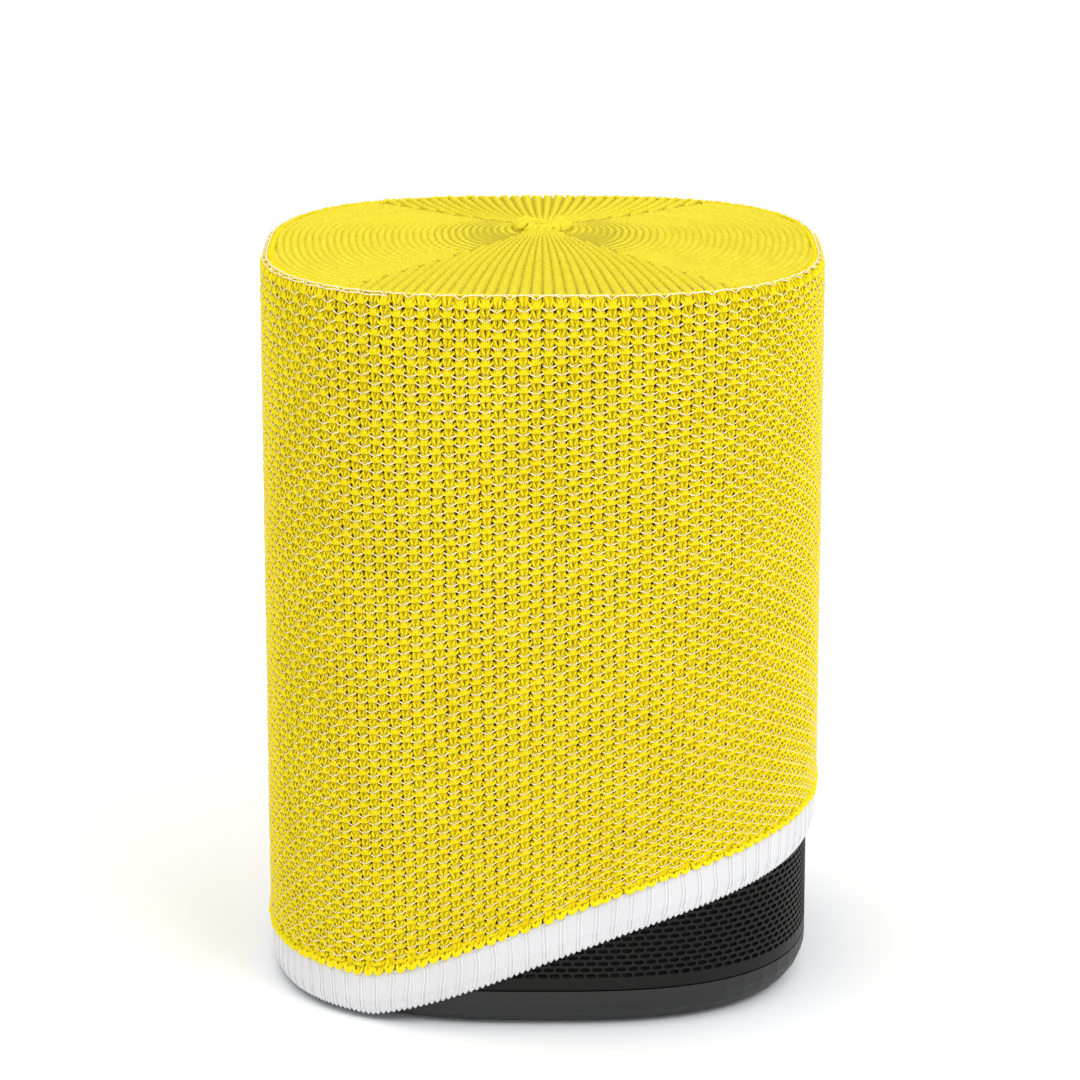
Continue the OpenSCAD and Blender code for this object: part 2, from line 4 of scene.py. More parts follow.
import bpy
import numpy as np
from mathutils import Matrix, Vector


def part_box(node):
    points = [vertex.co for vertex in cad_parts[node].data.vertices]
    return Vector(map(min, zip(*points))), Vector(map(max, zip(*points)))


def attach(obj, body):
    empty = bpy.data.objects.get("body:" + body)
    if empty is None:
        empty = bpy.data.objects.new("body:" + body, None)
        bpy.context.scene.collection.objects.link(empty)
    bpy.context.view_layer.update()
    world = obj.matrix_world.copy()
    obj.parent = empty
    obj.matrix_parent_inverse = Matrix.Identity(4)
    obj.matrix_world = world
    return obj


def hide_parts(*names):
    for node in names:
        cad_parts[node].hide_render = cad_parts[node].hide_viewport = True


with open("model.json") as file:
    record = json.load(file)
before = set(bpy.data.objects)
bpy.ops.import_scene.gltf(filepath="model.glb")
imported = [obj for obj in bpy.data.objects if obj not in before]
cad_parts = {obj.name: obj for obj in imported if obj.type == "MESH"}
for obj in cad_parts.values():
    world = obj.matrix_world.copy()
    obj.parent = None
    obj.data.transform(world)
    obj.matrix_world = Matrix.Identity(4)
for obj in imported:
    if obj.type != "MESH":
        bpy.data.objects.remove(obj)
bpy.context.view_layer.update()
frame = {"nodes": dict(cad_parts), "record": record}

RNG = np.random.default_rng(11)
MM = 0.001
TAU = 2 * math.pi

# ---- Sizes, in millimetres, from the CAD nodes ----
BODY_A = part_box("grille")[1].x / MM
BODY_N = 2.8
GRILLE_Z0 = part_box("grille")[0].z / MM
GRILLE_Z1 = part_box("grille")[1].z / MM
HEM_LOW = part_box("cover_hem")[0].z / MM
HEM_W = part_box("cover_side")[0].z / MM - HEM_LOW
HEM_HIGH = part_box("cover_hem")[1].z / MM - HEM_W
COVER_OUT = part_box("cover_side")[1].x / MM
COVER_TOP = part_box("cover_top")[1].z / MM

# The hem climbs from its lowest, 125 degrees away from the right side, over the next 105 degrees
HEM_TURN = 125
HEM_CLIMB = 105
HEM_CURVE = 1.2

# The knit: half widths of its mean surface and of the top, repeats round the cover and rows down it
KNIT_A = COVER_OUT - 1.3
TOP_A = KNIT_A - 0.7
RIM_R = 2.0
RIM_Z = COVER_TOP - 2.1
REPEATS = 77
ROWS = 81
FIRST_ROW = 2.1
LAST_ROW = 1.7
LINER_DEPTH = 0.62
CORD_OFFSET = 0.52

# Along the outline: the share at the middle of the front, and the steps of a plain ring
FRONT = 0.25
OUTLINE_STEPS = 288


# ---- The rounded-square outline ----
def outline_r(a, phi):
    """Distance of the rounded square of half width a from its middle, at a polar angle."""
    return a * (np.abs(np.cos(phi)) ** BODY_N + np.abs(np.sin(phi)) ** BODY_N) ** (-1 / BODY_N)


def _perimeter_table():
    """Shares of the perimeter against polar angle, and the perimeter for a half width of 1."""
    phi = np.linspace(-math.pi, math.pi, 7201)
    r = outline_r(1.0, phi)
    x, y = r * np.cos(phi), r * np.sin(phi)
    s = np.concatenate([[0], np.cumsum(np.hypot(np.diff(x), np.diff(y)))])
    return s / s[-1], phi, s[-1]


_SHARE, _PHI, UNIT_PERIMETER = _perimeter_table()


def phi_at(share):
    """Polar angle at a share of the perimeter, where 0 and 1 are the left side."""
    share = np.asarray(share, float)
    turns = np.floor(share)
    return np.interp(share - turns, _SHARE, _PHI) + TAU * turns


def outward(phi):
    """Unit normal of the outline at a polar angle."""
    c, s = np.cos(phi), np.sin(phi)
    n = np.stack([np.sign(c) * np.abs(c) ** (BODY_N - 1), np.sign(s) * np.abs(s) ** (BODY_N - 1)], -1)
    return n / np.linalg.norm(n, axis=-1, keepdims=True)


def hem_z(phi):
    """Height of the hem's lower edge, as in the CAD."""
    turned = np.abs((np.asarray(phi) + math.pi) % TAU - math.pi)
    share = np.clip((HEM_TURN - np.degrees(turned)) / HEM_CLIMB, 0, 1)
    return HEM_LOW + (HEM_HIGH - HEM_LOW) * np.sin(share * math.pi / 2) ** HEM_CURVE


def body_point(phi, z, out, a=None):
    """A point standing out from the side of half width a."""
    base = outline_r(BODY_A if a is None else a, phi)
    n = outward(phi)
    return np.stack([base * np.cos(phi) + out * n[..., 0], base * np.sin(phi) + out * n[..., 1], z], -1)


def knit_point(share, down, out):
    """A point on the cover, and its normal. down is the way from the rim's flat top down the side."""
    phi = phi_at(share)
    turn = np.clip(down / RIM_R, 0, math.pi / 2)
    level = np.maximum(down - RIM_R * math.pi / 2, 0)
    reach = (RIM_R + out) * np.sin(turn) - RIM_R
    z = RIM_Z + (RIM_R + out) * np.cos(turn) - level
    p = body_point(phi, z, reach, KNIT_A)
    n2 = outward(phi)
    n = np.stack([n2[..., 0] * np.sin(turn), n2[..., 1] * np.sin(turn), np.cos(turn)], -1)
    return p, n


def rows_run(u):
    """Way down the cover after a share u of the rows, up to a factor: rows are wider near the rim."""
    tight = np.clip((u - 0.6) / 0.4, 0, None) ** 2.5
    return 1.90 * u + 0.045 * (1 - np.exp(-np.maximum(u, -0.02) / 0.09)) - 0.09 * tight


def row_down(share, row):
    """How far down the cover a row lies: level at the rim, and parallel to the hem at the bottom."""
    full = RIM_R * math.pi / 2 + RIM_Z - (HEM_LOW + HEM_W) - LAST_ROW
    u = row / ROWS
    phi = phi_at(share)
    turn = np.abs(np.degrees(np.arctan2(np.sin(phi), np.cos(phi))))
    soft = 1.15 * (HEM_HIGH - HEM_LOW) * 0.5 * (1 + np.cos(np.radians(np.minimum(turn / 168, 1) * 180)))
    late = np.clip(u, 0, 1.02) ** 6
    off = soft * (1 - late) + (hem_z(phi) - HEM_LOW) * late
    sway = 0.26 * np.sin(TAU * share * 5 + row * 0.11) + 0.20 * np.sin(TAU * share * 11 - row * 0.23)
    return (FIRST_ROW + (full - FIRST_ROW) * rows_run(u) / rows_run(np.array(1.0))
            - off * (1.06 * u - 0.06 * u ** 2) + sway * np.clip(4 * u, 0, 1) * np.clip(1 - u, 0, 1))


def drawn_in(share, row):
    """The columns stand closer at the front's lower end, where the cover is pulled."""
    return share + (0.005 - 0.07 * np.clip(row / ROWS, 0, 1)) * np.sin(TAU * (share - FRONT)) / TAU


def slope(share, row):
    """Rise of a row towards +X, in mm a mm, seen from outside."""
    step = 0.002
    rise = row_down(share - step, row) - row_down(share + step, row)
    return rise / (2 * step * UNIT_PERIMETER * KNIT_A)


# ---- Mesh building ----
def mesh_object(name, verts, groups, smooth=True):
    """groups are arrays of faces, each array with one number of corners."""
    mesh = bpy.data.meshes.new(name)
    verts = np.asarray(verts, np.float32).reshape(-1, 3) * MM
    mesh.vertices.add(len(verts))
    mesh.vertices.foreach_set("co", verts.ravel())
    loops = np.concatenate([g.reshape(-1) for g in groups]).astype(np.int32)
    sizes = np.concatenate([np.full(len(g), g.shape[1], np.int32) for g in groups])
    starts = np.concatenate([[0], np.cumsum(sizes)[:-1]]).astype(np.int32)
    mesh.loops.add(len(loops))
    mesh.loops.foreach_set("vertex_index", loops)
    mesh.polygons.add(len(sizes))
    mesh.polygons.foreach_set("loop_start", starts)
    mesh.polygons.foreach_set("use_smooth", np.full(len(sizes), smooth))
    mesh.update(calc_edges=True)
    mesh.validate()
    obj = bpy.data.objects.new(name, mesh)
    bpy.context.scene.collection.objects.link(obj)
    return obj


def sweep(paths, normals, radius, sides=5, flat=1.0):
    """Closed tubes along many paths at once. paths and normals are (n, p, 3), radius (n or 1, p)."""
    n, p, _ = paths.shape
    tangent = np.gradient(paths, axis=1)
    tangent /= np.linalg.norm(tangent, axis=-1, keepdims=True) + 1e-9
    across = np.cross(tangent, normals)
    across /= np.linalg.norm(across, axis=-1, keepdims=True) + 1e-9
    up = np.cross(across, tangent)
    ang = np.arange(sides) * TAU / sides
    r = np.broadcast_to(radius, (n, p))[..., None, None]
    ring = np.cos(ang)[:, None] * across[:, :, None, :] + flat * np.sin(ang)[:, None] * up[:, :, None, :]
    verts = (paths[:, :, None, :] + r * ring).reshape(-1, 3)
    base = (np.arange(n) * p * sides)[:, None, None]
    k = np.arange(p - 1)[None, :, None] * sides
    i = np.arange(sides)[None, None, :]
    j = (i + 1) % sides
    quads = np.stack([base + k + i, base + k + j, base + k + sides + j, base + k + sides + i], -1)
    caps0 = (np.arange(n) * p * sides)[:, None] + np.arange(sides)[None, ::-1]
    caps1 = (np.arange(n) * p * sides + (p - 1) * sides)[:, None] + np.arange(sides)[None, :]
    return verts, quads.reshape(-1, 4), np.concatenate([caps0, caps1])


def join(parts):
    """Joins (verts, quads, caps) sets into one."""
    verts, groups, start = [], {}, 0
    for part in parts:
        for faces in part[1:]:
            if faces is not None and len(faces):
                groups.setdefault(faces.shape[1], []).append(faces + start)
        verts.append(part[0])
        start += len(part[0])
    return np.concatenate(verts), [np.concatenate(g) for g in groups.values()]


def grid_faces(rows, cols, closed):
    """Quads of a grid of points, joined round when it is closed."""
    i = np.arange(rows - 1)[:, None] * cols
    j = np.arange(cols if closed else cols - 1)[None, :]
    k = (j + 1) % cols
    return np.stack([i + j, i + k, i + cols + k, i + cols + j], -1).reshape(-1, 4)


# ---- Materials ----
def material(name, colour, rough=0.6, metal=0.0, sheen=0.0, bump=0.0, scale=900.0, vary=0.12,
             other=None, coat=0.0, blotch=60.0, rough_vary=0.08, subsurface=0.0,
             gloss=0.5):
    """A procedural material: two tones mixed by noise, with roughness and bump from finer noise."""
    mat = bpy.data.materials.new(name)
    mat.use_nodes = True
    nodes, links = mat.node_tree.nodes, mat.node_tree.links
    shader = next(n for n in nodes if n.type == "BSDF_PRINCIPLED")
    shader.inputs["Metallic"].default_value = metal
    shader.inputs["Coat Weight"].default_value = coat
    shader.inputs["Specular IOR Level"].default_value = gloss
    shader.inputs["Sheen Weight"].default_value = sheen
    shader.inputs["Sheen Roughness"].default_value = 0.5
    shader.inputs["Subsurface Weight"].default_value = subsurface
    shader.inputs["Subsurface Scale"].default_value = 0.0006
    place = nodes.new("ShaderNodeTexCoord")

    def noise(size, detail):
        node = nodes.new("ShaderNodeTexNoise")
        node.inputs["Scale"].default_value = size
        node.inputs["Detail"].default_value = detail
        links.new(place.outputs["Object"], node.inputs["Vector"])
        return node

    fine, broad = noise(scale, 3.0), noise(blotch, 2.0)
    both = nodes.new("ShaderNodeMath")
    both.operation = "MULTIPLY_ADD"
    both.inputs[1].default_value = 0.5
    links.new(fine.outputs["Fac"], both.inputs[0])
    half = nodes.new("ShaderNodeMath")
    half.operation = "MULTIPLY"
    half.inputs[1].default_value = 0.5
    links.new(broad.outputs["Fac"], half.inputs[0])
    links.new(half.outputs[0], both.inputs[2])
    ramp = nodes.new("ShaderNodeValToRGB")
    if other is None:
        other = tuple(c * (1 - vary) for c in colour)
    ramp.color_ramp.elements[0].position = 0.35
    ramp.color_ramp.elements[1].position = 0.65
    ramp.color_ramp.elements[0].color = (*other, 1)
    ramp.color_ramp.elements[1].color = (*colour, 1)
    links.new(both.outputs[0], ramp.inputs["Fac"])
    links.new(ramp.outputs["Color"], shader.inputs["Base Color"])
    spread = nodes.new("ShaderNodeMapRange")
    spread.inputs["To Min"].default_value = max(0.05, rough - rough_vary)
    spread.inputs["To Max"].default_value = min(1.0, rough + rough_vary)
    links.new(fine.outputs["Fac"], spread.inputs["Value"])
    links.new(spread.outputs["Result"], shader.inputs["Roughness"])
    if bump:
        node = nodes.new("ShaderNodeBump")
        node.inputs["Strength"].default_value = bump
        node.inputs["Distance"].default_value = 0.0002
        links.new(fine.outputs["Fac"], node.inputs["Height"])
        links.new(node.outputs["Normal"], shader.inputs["Normal"])
    return mat


YARN = dict(rough=0.85, bump=0.7, scale=2600.0, blotch=90.0, gloss=0.15)
MATERIALS = {
    "yarn_bright": material("yarn_bright", (0.91, 0.765, 0.014), other=(0.85, 0.70, 0.008), **YARN),
    "yarn_deep": material("yarn_deep", (0.92, 0.76, 0.008), other=(0.82, 0.64, 0.005), **YARN),
    "yarn_top": material("yarn_top", (0.86, 0.74, 0.045), other=(0.72, 0.60, 0.025),
                         rough=0.85, bump=1.0, scale=1800, blotch=1300, gloss=0.15),
    # Painted shade: the top's ground between the ribs is a darker yellow that stands for the shade in the
    # grooves
    "yarn_groove_shade": material("yarn_groove_shade", (0.56, 0.45, 0.012), other=(0.46, 0.36, 0.008), **YARN),
    "thread_white": material("thread_white", (0.93, 0.84, 0.62), other=(0.88, 0.76, 0.50), rough=0.6,
                             bump=0.3, scale=2500.0),
    "thread_beige": material("thread_beige", (0.82, 0.68, 0.24), other=(0.70, 0.56, 0.14), rough=0.7),
    "hem_cord": material("hem_cord", (0.80, 0.80, 0.81), other=(0.76, 0.76, 0.77), rough=0.85),
    "hem_knit": material("hem_knit", (0.74, 0.74, 0.76), other=(0.68, 0.68, 0.70), rough=0.85,
                         sheen=0.1, bump=0.4, scale=2400.0),
    # Painted shade: the liner's dark yellow stands for the shade seen through the holes between the stitches
    "shade_liner": material("shade_liner", (0.14, 0.105, 0.004), other=(0.08, 0.06, 0.002), rough=0.95),
    "grille_paint": material("grille_paint", (0.011, 0.011, 0.0105), rough=0.5, bump=0.25,
                             scale=4000.0, vary=0.3, gloss=0.15),
}


def finish(obj, body, slot, mat, *hides):
    """Gives a piece its material and body, and hides the CAD nodes that it replaces."""
    obj.data.materials.clear()
    obj.data.materials.append(MATERIALS[mat])
    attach(obj, body)
    if hides:
        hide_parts(*hides)
    return obj


# ---- Camera, floor and light ----
def make_camera():
    """A long lens in front of the speaker and a little above it."""
    cam = bpy.data.cameras.new("view")
    cam.lens = 141.61
    cam.sensor_width = 36.0
    cam.shift_x = -0.0015
    cam.clip_end = 20.0
    obj = bpy.data.objects.new("view", cam)
    obj.location = (-0.0002, -0.9295, 0.3362)
    obj.rotation_euler = (math.pi / 2 - 0.2542, 0, 0)
    bpy.context.scene.collection.objects.link(obj)
    bpy.context.scene.camera = obj


def make_studio():
    """A white room, a pale floor and two soft lamps."""
    world = bpy.data.worlds.new("studio")
    world.use_nodes = True
    back = next(n for n in world.node_tree.nodes if n.type == "BACKGROUND")
    back.inputs["Color"].default_value = (1, 1, 1, 1)
    back.inputs["Strength"].default_value = 1.1
    bpy.context.scene.world = world
    bpy.context.scene.view_settings.view_transform = "Standard"
    floor = bpy.data.meshes.new("floor")
    half = 6.0
    floor.from_pydata([(-half, -half, 0), (half, -half, 0), (half, half, 0), (-half, half, 0)], [],
                      [(0, 1, 2, 3)])
    ground = bpy.data.objects.new("floor", floor)
    bpy.context.scene.collection.objects.link(ground)
    white = bpy.data.materials.new("floor_white")
    white.use_nodes = True
    shader = next(n for n in white.node_tree.nodes if n.type == "BSDF_PRINCIPLED")
    shader.inputs["Base Color"].default_value = (0.955, 0.965, 0.985, 1)
    shader.inputs["Roughness"].default_value = 0.9
    floor.materials.append(white)
    lamps = (("key", (0.8, -1.1, 1.3), 0.8, 9.0), ("fill", (-1.0, -0.6, 1.0), 1.1, 1.0))
    for name, place, size, power in lamps:
        light = bpy.data.lights.new(name, "AREA")
        light.shape = "DISK"
        light.size = size
        light.energy = power
        lamp = bpy.data.objects.new(name, light)
        lamp.location = place
        lamp.rotation_euler = (Vector((0, 0, 0.08)) - Vector(place)).to_track_quat("-Z", "Y").to_euler()
        bpy.context.scene.collection.objects.link(lamp)


# ---- The knitted side ----
CELL_WIDE = 5.36
CELL_ROW = 2.05


def cells(first, last):
    """Centres of the stitch groups from row first up to row last, each row half a repeat along."""
    rows = np.arange(first, last)
    col = np.arange(REPEATS)
    share = (col[None, :] + 0.5 * (rows[:, None] % 2)) / REPEATS
    row = np.broadcast_to(rows[:, None], share.shape).astype(float)
    return share.ravel() % 1, row.ravel()


def lay(share, row, x, y, out, jitter):
    """Paths in a cell: x along the row and y up, in mm, out from the knit's surface."""
    x = np.atleast_2d(np.asarray(x, float)) * (1 + 0.09 * jitter[:, 1:2]) + jitter[:, :1] * 0.18
    y = np.atleast_2d(np.asarray(y, float)) + jitter[:, 2:3] * 0.15
    at = np.maximum(row[:, None] - y / CELL_ROW, -0.25)
    s = drawn_in(share[:, None] + x / (CELL_WIDE * REPEATS), at)
    down = row_down(s, at)
    w = np.atleast_2d(np.asarray(out, float)) + 0.09 * jitter[:, 3:4]
    return knit_point(s, down, np.broadcast_to(w, down.shape))


# Strands of a stitch group: x, y and height over the surface, and radius, in mm
LOBES = [
    ([-1.50, -1.48, -1.20, -0.68, -0.24], [-0.12, -0.58, -1.02, -1.38, -1.56],
     [0.30, 0.62, 0.70, 0.66, 0.40], [0.12, 0.23, 0.26, 0.25, 0.18]),
    ([-1.02, -0.98, -0.78, -0.44, -0.18], [-0.54, -0.76, -1.00, -1.26, -1.44],
     [0.20, 0.42, 0.52, 0.55, 0.42], [0.13, 0.19, 0.22, 0.22, 0.18]),
    ([-0.66, -0.62, -0.54, -0.40, -0.22], [0.10, -0.25, -0.62, -1.00, -1.36],
     [0.35, 0.60, 0.70, 0.68, 0.50], [0.14, 0.20, 0.22, 0.22, 0.18]),
    ([-0.23, -0.20, -0.18, -0.15, -0.26], [0.20, -0.28, -0.82, -1.36, -1.86],
     [0.50, 0.78, 0.80, 0.68, 0.28], [0.15, 0.21, 0.22, 0.22, 0.16])]
LEG = ([-0.42, -0.72, -0.55, -0.28, -0.14], [-1.62, -2.04, -2.52, -3.08, -3.60],
       [0.30, 0.66, 0.82, 0.74, 0.35], [0.14, 0.22, 0.24, 0.22, 0.14])
LOOP = ([-0.70, -0.42, 0.0, 0.42, 0.70], [0.98, 0.46, 0.30, 0.46, 0.98],
        [0.20, 0.56, 0.66, 0.56, 0.20], [0.11, 0.17, 0.18, 0.17, 0.11])
FINE_LOOP = ([-0.86, -0.50, 0.0, 0.50, 0.86], [1.60, 0.82, 0.62, 0.82, 1.60],
             [0.30, 0.60, 0.66, 0.60, 0.30], [0.05, 0.08, 0.08, 0.08, 0.05])
SCALLOP = ([-1.15, -1.05, -0.62, 0.0, 0.62, 1.05, 1.15], [0.9, -0.15, -1.05, -1.40, -1.05, -0.15, 0.9],
           [0.2, 0.80, 1.05, 1.10, 1.05, 0.80, 0.2], [0.2, 0.32, 0.37, 0.38, 0.37, 0.32, 0.2])


def both_sides(share, row, jit, shape, sides):
    """A strand of each stitch group and its mirror image."""
    parts = []
    for side in (-1, 1):
        x, y, out, r = (np.array(v) for v in shape)
        p, n = lay(share, row, side * x + 0.04 * side * jit[:, 1:2], y + 0.05 * jit[:, :1] * side, out, jit)
        swell = 1 + 0.10 * jit[:, 2:3] * side
        parts.append(sweep(p, n, r[None, :] * swell, sides))
    return parts


def thread_arms(share, row, jit):
    """The white thread's two arms; on a sloping row the left one is shorter and the right one longer."""
    lean = np.clip(slope(share, row), -0.6, 0.6)[:, None]
    parts = []
    for side in (-1, 1):
        reach = 1.66 * (1 - 0.2 * np.abs(lean) + 0.75 * side * lean)
        t = np.array([[0.0, 0.14, 0.5, 0.88, 1.0]])
        x = side * reach * t
        y = 0.84 * (t - 0.05 + 0.05 * (1 - t) ** 8) * (1 + 0.25 * side * lean) + 0.06 * jit[:, 1:2] * t
        out = np.array([[0.92, 1.00, 1.06, 0.92, 0.55]])
        p, n = lay(share, row, x, y, out, jit)
        away = np.clip(1.25 - 3.2 * np.abs(share - FRONT), 0.55, 1)[:, None]
        thin = away * (1 - 0.75 * np.abs(lean))
        parts.append(sweep(p, n, thin * np.array([[0.085, 0.11, 0.16, 0.15, 0.08]]), 4))
    return parts


def side_knit():
    """The stitch groups of the side in bands of rows, with their thread, and the scalloped last row."""
    pieces = []
    band = 5

    def add(name, tag, parts, slot, mat):
        verts, faces = join(parts)
        pieces.append(finish(mesh_object(f"cover_{name}_{tag}", verts, faces), "cover", slot, mat))

    for start in range(0, ROWS, band):
        stop = min(start + band, ROWS)
        share, row = cells(start, stop)
        tag = f"{start // band:02d}"
        if stop == ROWS:
            edge = np.arange(2 * REPEATS) / (2 * REPEATS)
            uneven = RNG.uniform(-1, 1, (len(edge), 4)) * 1.4
            scallops = []
            for size, x_off in ((1.0, 0.12), (0.55, -0.08)):
                x, y, out = (np.array(v) for v in SCALLOP[:3])
                last_row = np.full(len(edge), ROWS + 0.1)
                p, n = lay(edge, last_row, x * size + x_off, y * size + 0.1, out, uneven)
                scallops.append(sweep(p, n, np.array([SCALLOP[3]]) * (1 + 0.15 * uneven[:, :1]), 6))
            add("scallop_yarn", tag, scallops, "yellow_yarn", "yarn_bright")
        jit = RNG.uniform(-1, 1, (len(share), 4))
        lobes = []
        for shape in LOBES:
            lobes += both_sides(share, row, jit, shape, 4)
        below = row > 0.5
        p, n = lay(share[below], row[below], *LOOP[:3], jit[below])
        lobes.append(sweep(p, n, np.array([LOOP[3]]), 4))
        add("lobe_yarn", tag, lobes, "yellow_yarn", "yarn_bright")
        inside = row < ROWS - 2
        if inside.any():
            legs = both_sides(share[inside], row[inside], jit[inside], LEG, 4)
            if start == 0:
                over = cells(-2, 0)
                over = [v[np.abs(over[0] - FRONT) < 0.22] for v in over]
                legs += both_sides(*over, RNG.uniform(-1, 1, (len(over[0]), 4)), LEG, 4)
            add("leg_yarn", tag, legs, "yellow_yarn", "yarn_bright")
        p, n = lay(share[below], row[below], *FINE_LOOP[:3], jit[below])
        add("fine_thread", tag, [sweep(p, n, np.array([FINE_LOOP[3]]), 3)], "white_yarn", "thread_beige")
        threaded = row < ROWS - 0.8
        add("white_thread", tag, thread_arms(share[threaded], row[threaded], jit[threaded]),
            "white_yarn", "thread_white")
    return pieces


def under_knit():
    """Wavy vertical cords behind the stitch groups, in pairs with slits between, and cross strands."""
    pieces = []
    for part in range(4):
        column = np.arange(part * REPEATS // 2, (part + 1) * REPEATS // 2)
        share = np.concatenate([column / (2 * REPEATS) + d / (UNIT_PERIMETER * KNIT_A)
                                for d in (-CORD_OFFSET, CORD_OFFSET)])
        row = np.linspace(-0.9, ROWS + 1.3, 130)
        phase = RNG.uniform(0, TAU, (len(share), 1))
        wave = 0.13 * np.sin(row[None, :] * math.pi + phase) + 0.10 * np.sin(row[None, :] * 0.7 + 2 * phase)
        s = share[:, None] + wave / (UNIT_PERIMETER * KNIT_A)
        s = drawn_in(s, row[None, :])
        down = row_down(s, np.broadcast_to(row[None, :], s.shape))
        p, n = knit_point(s, down, -0.15 + 0.14 * np.sin(row[None, :] * TAU + 2 * phase))
        turn = np.cos(TAU * (share[:, None] - 0.42)) * 0.5 + 0.5
        radius = 0.59 + 0.17 * turn * np.clip(row[None, :] / ROWS, 0, 1) ** 1.5
        verts, quads, caps = sweep(p, n, radius, 5, 0.8)
        obj = mesh_object(f"cover_under_yarn_{part}", verts, [quads, caps])
        pieces.append(finish(obj, "cover", "yellow_yarn", "yarn_deep"))
    share, row = cells(0, ROWS)
    jit = RNG.uniform(-1, 1, (len(share), 4))
    p, n = lay(share, row, [-2.2, -1.3, 1.3, 2.2], [-0.62, -0.84, -0.84, -0.62],
               [-0.1, 0.18, 0.18, -0.1], jit)
    verts, quads, caps = sweep(p, n, np.array([[0.2, 0.32, 0.32, 0.2]]), 4)
    pieces.append(finish(mesh_object("cover_cross_yarn", verts, [quads, caps]), "cover", "yellow_yarn",
                         "yarn_deep"))
    return pieces


def shade_liner():
    """The thin inner layer that carries the yarn: the side, the rim and the top in one cap, in a dark yellow
    that is painted shade for the holes between the stitches.
    """
    cols = OUTLINE_STEPS
    share = np.arange(cols) / cols
    phi = phi_at(share)
    rings = []
    low = RIM_R * math.pi / 2 + RIM_Z - (hem_z(phi) + HEM_W - 0.5)
    for t in np.linspace(1, 0, 40):
        p, _ = knit_point(share, low * t, np.full(cols, -LINER_DEPTH))
        rings.append(p)
    rim = rings[-1]
    centre = np.array([0.0, 0.0, rim[0, 2]])
    for t in (0.8, 0.6, 0.4, 0.2, 0.04):
        rings.append(centre + (rim - centre) * t)
    verts = np.concatenate(rings)
    top = (len(rings) - 1) * cols + np.arange(cols)[None, :]
    return finish(mesh_object("cover_liner", verts, [grid_faces(len(rings), cols, True), top]),
                  "cover", "yellow_yarn", "shade_liner", "cover_side", "cover_top")


# ---- The knitted top ----
# The crown, the ends of the seams between the sectors, and the side arcs' bend as seen from the crown
CROWN = np.array([0.0, 16.0])
FRONT_SEAMS = [(-43.0, -52.0), (42.0, -52.0)]
BACK_SEAMS = [(40.0, 54.0), (-40.0, 54.0)]
BEND_X, BEND_Y = 62.0, 1.0

# Ribs round the top, the steps along a rib and an arc, and the arcs' spacing as a share of their reach
RIBS = 160
RIB_STEP = 0.24
ARC_STEP = 0.28
ARC_PITCH = 0.0265
RIB_Z = COVER_TOP - 0.95


def ray_to_rim(angle):
    """Distance from the crown to the top's edge in a direction."""
    lo, hi = 0.0, 120.0
    d = np.array([math.cos(angle), math.sin(angle)])
    for _ in range(30):
        mid = (lo + hi) / 2
        q = CROWN + mid * d
        inside = (abs(q[0]) / TOP_A) ** BODY_N + (abs(q[1]) / TOP_A) ** BODY_N < 1
        lo, hi = (mid, hi) if inside else (lo, mid)
    return lo


def crown_ribs():
    """Paths of the ribs: across the front and back wedges, and round the left and right ones.

    A path round the side also carries half the distance to the next one, which sets its width.
    """
    front, back = ([math.atan2(*(np.array(end) - CROWN)[::-1]) for end in seams]
                   for seams in (FRONT_SEAMS, BACK_SEAMS))
    wedges = {"front": [], "back": [], "left": [], "right": []}
    for name, (a0, a1), middle in (("front", front, (0, 1)), ("back", back, (0, -1))):
        for i in range(RIBS):
            phi = float(phi_at((i + 0.5) / RIBS))
            r = outline_r(TOP_A, np.array(phi))
            pos = np.array([r * math.cos(phi), r * math.sin(phi)])
            rel = pos - CROWN
            if not a0 <= math.atan2(rel[1], rel[0]) <= a1:
                continue
            path = [pos.copy()]
            for _ in range(420):
                to_crown = CROWN - pos
                reach = np.linalg.norm(to_crown)
                mix = 0.45 + 0.35 * max(0, 1 - reach / 50)
                d = (1 - mix) * np.array(middle, float) + mix * to_crown / reach
                pos = pos + RIB_STEP * d / np.linalg.norm(d)
                rel = pos - CROWN
                path.append(pos.copy())
                a = math.atan2(rel[1], rel[0])
                near = np.linalg.norm(rel) * min(math.sin(max(0, a - a0)), math.sin(max(0, a1 - a)))
                if near < 0.15 or np.linalg.norm(rel) < 5.0:
                    break
            wedges[name].append(np.array(path))
    for name, a0, a1 in (("right", front[1], back[0]), ("left", back[1], front[0] + TAU)):
        around = np.linspace(a0 + 0.002, a1 - 0.002, 260)
        rim = np.array([ray_to_rim(a) for a in around])
        kink = math.atan2(-BEND_Y, BEND_X) if name == "right" else math.pi + math.atan2(BEND_Y, BEND_X)
        half_gap = ARC_PITCH / 2 * rim
        for q in np.arange(1.0, 0.12, -ARC_PITCH):
            bend = 1 + 0.018 * np.cos(np.clip((around - kink) * 4, -math.pi, math.pi))
            reach = rim * q * bend / 1.018
            path = CROWN + np.stack([reach * np.cos(around), reach * np.sin(around)], -1)
            step = np.concatenate([[0], np.cumsum(np.linalg.norm(np.diff(path, axis=0), axis=1))])
            t = np.arange(0, step[-1], ARC_STEP)
            columns = (path[:, 0], path[:, 1], half_gap)
            wedges[name].append(np.stack([np.interp(t, step, column) for column in columns], -1))
    return wedges


def crown_height(xy):
    """Rise of the top towards the crown, where the knitting is gathered."""
    reach = np.linalg.norm(xy - CROWN, axis=-1)
    return 0.9 * np.exp(-(reach / 9) ** 2) + 0.25 * np.exp(-(reach / 30) ** 2)


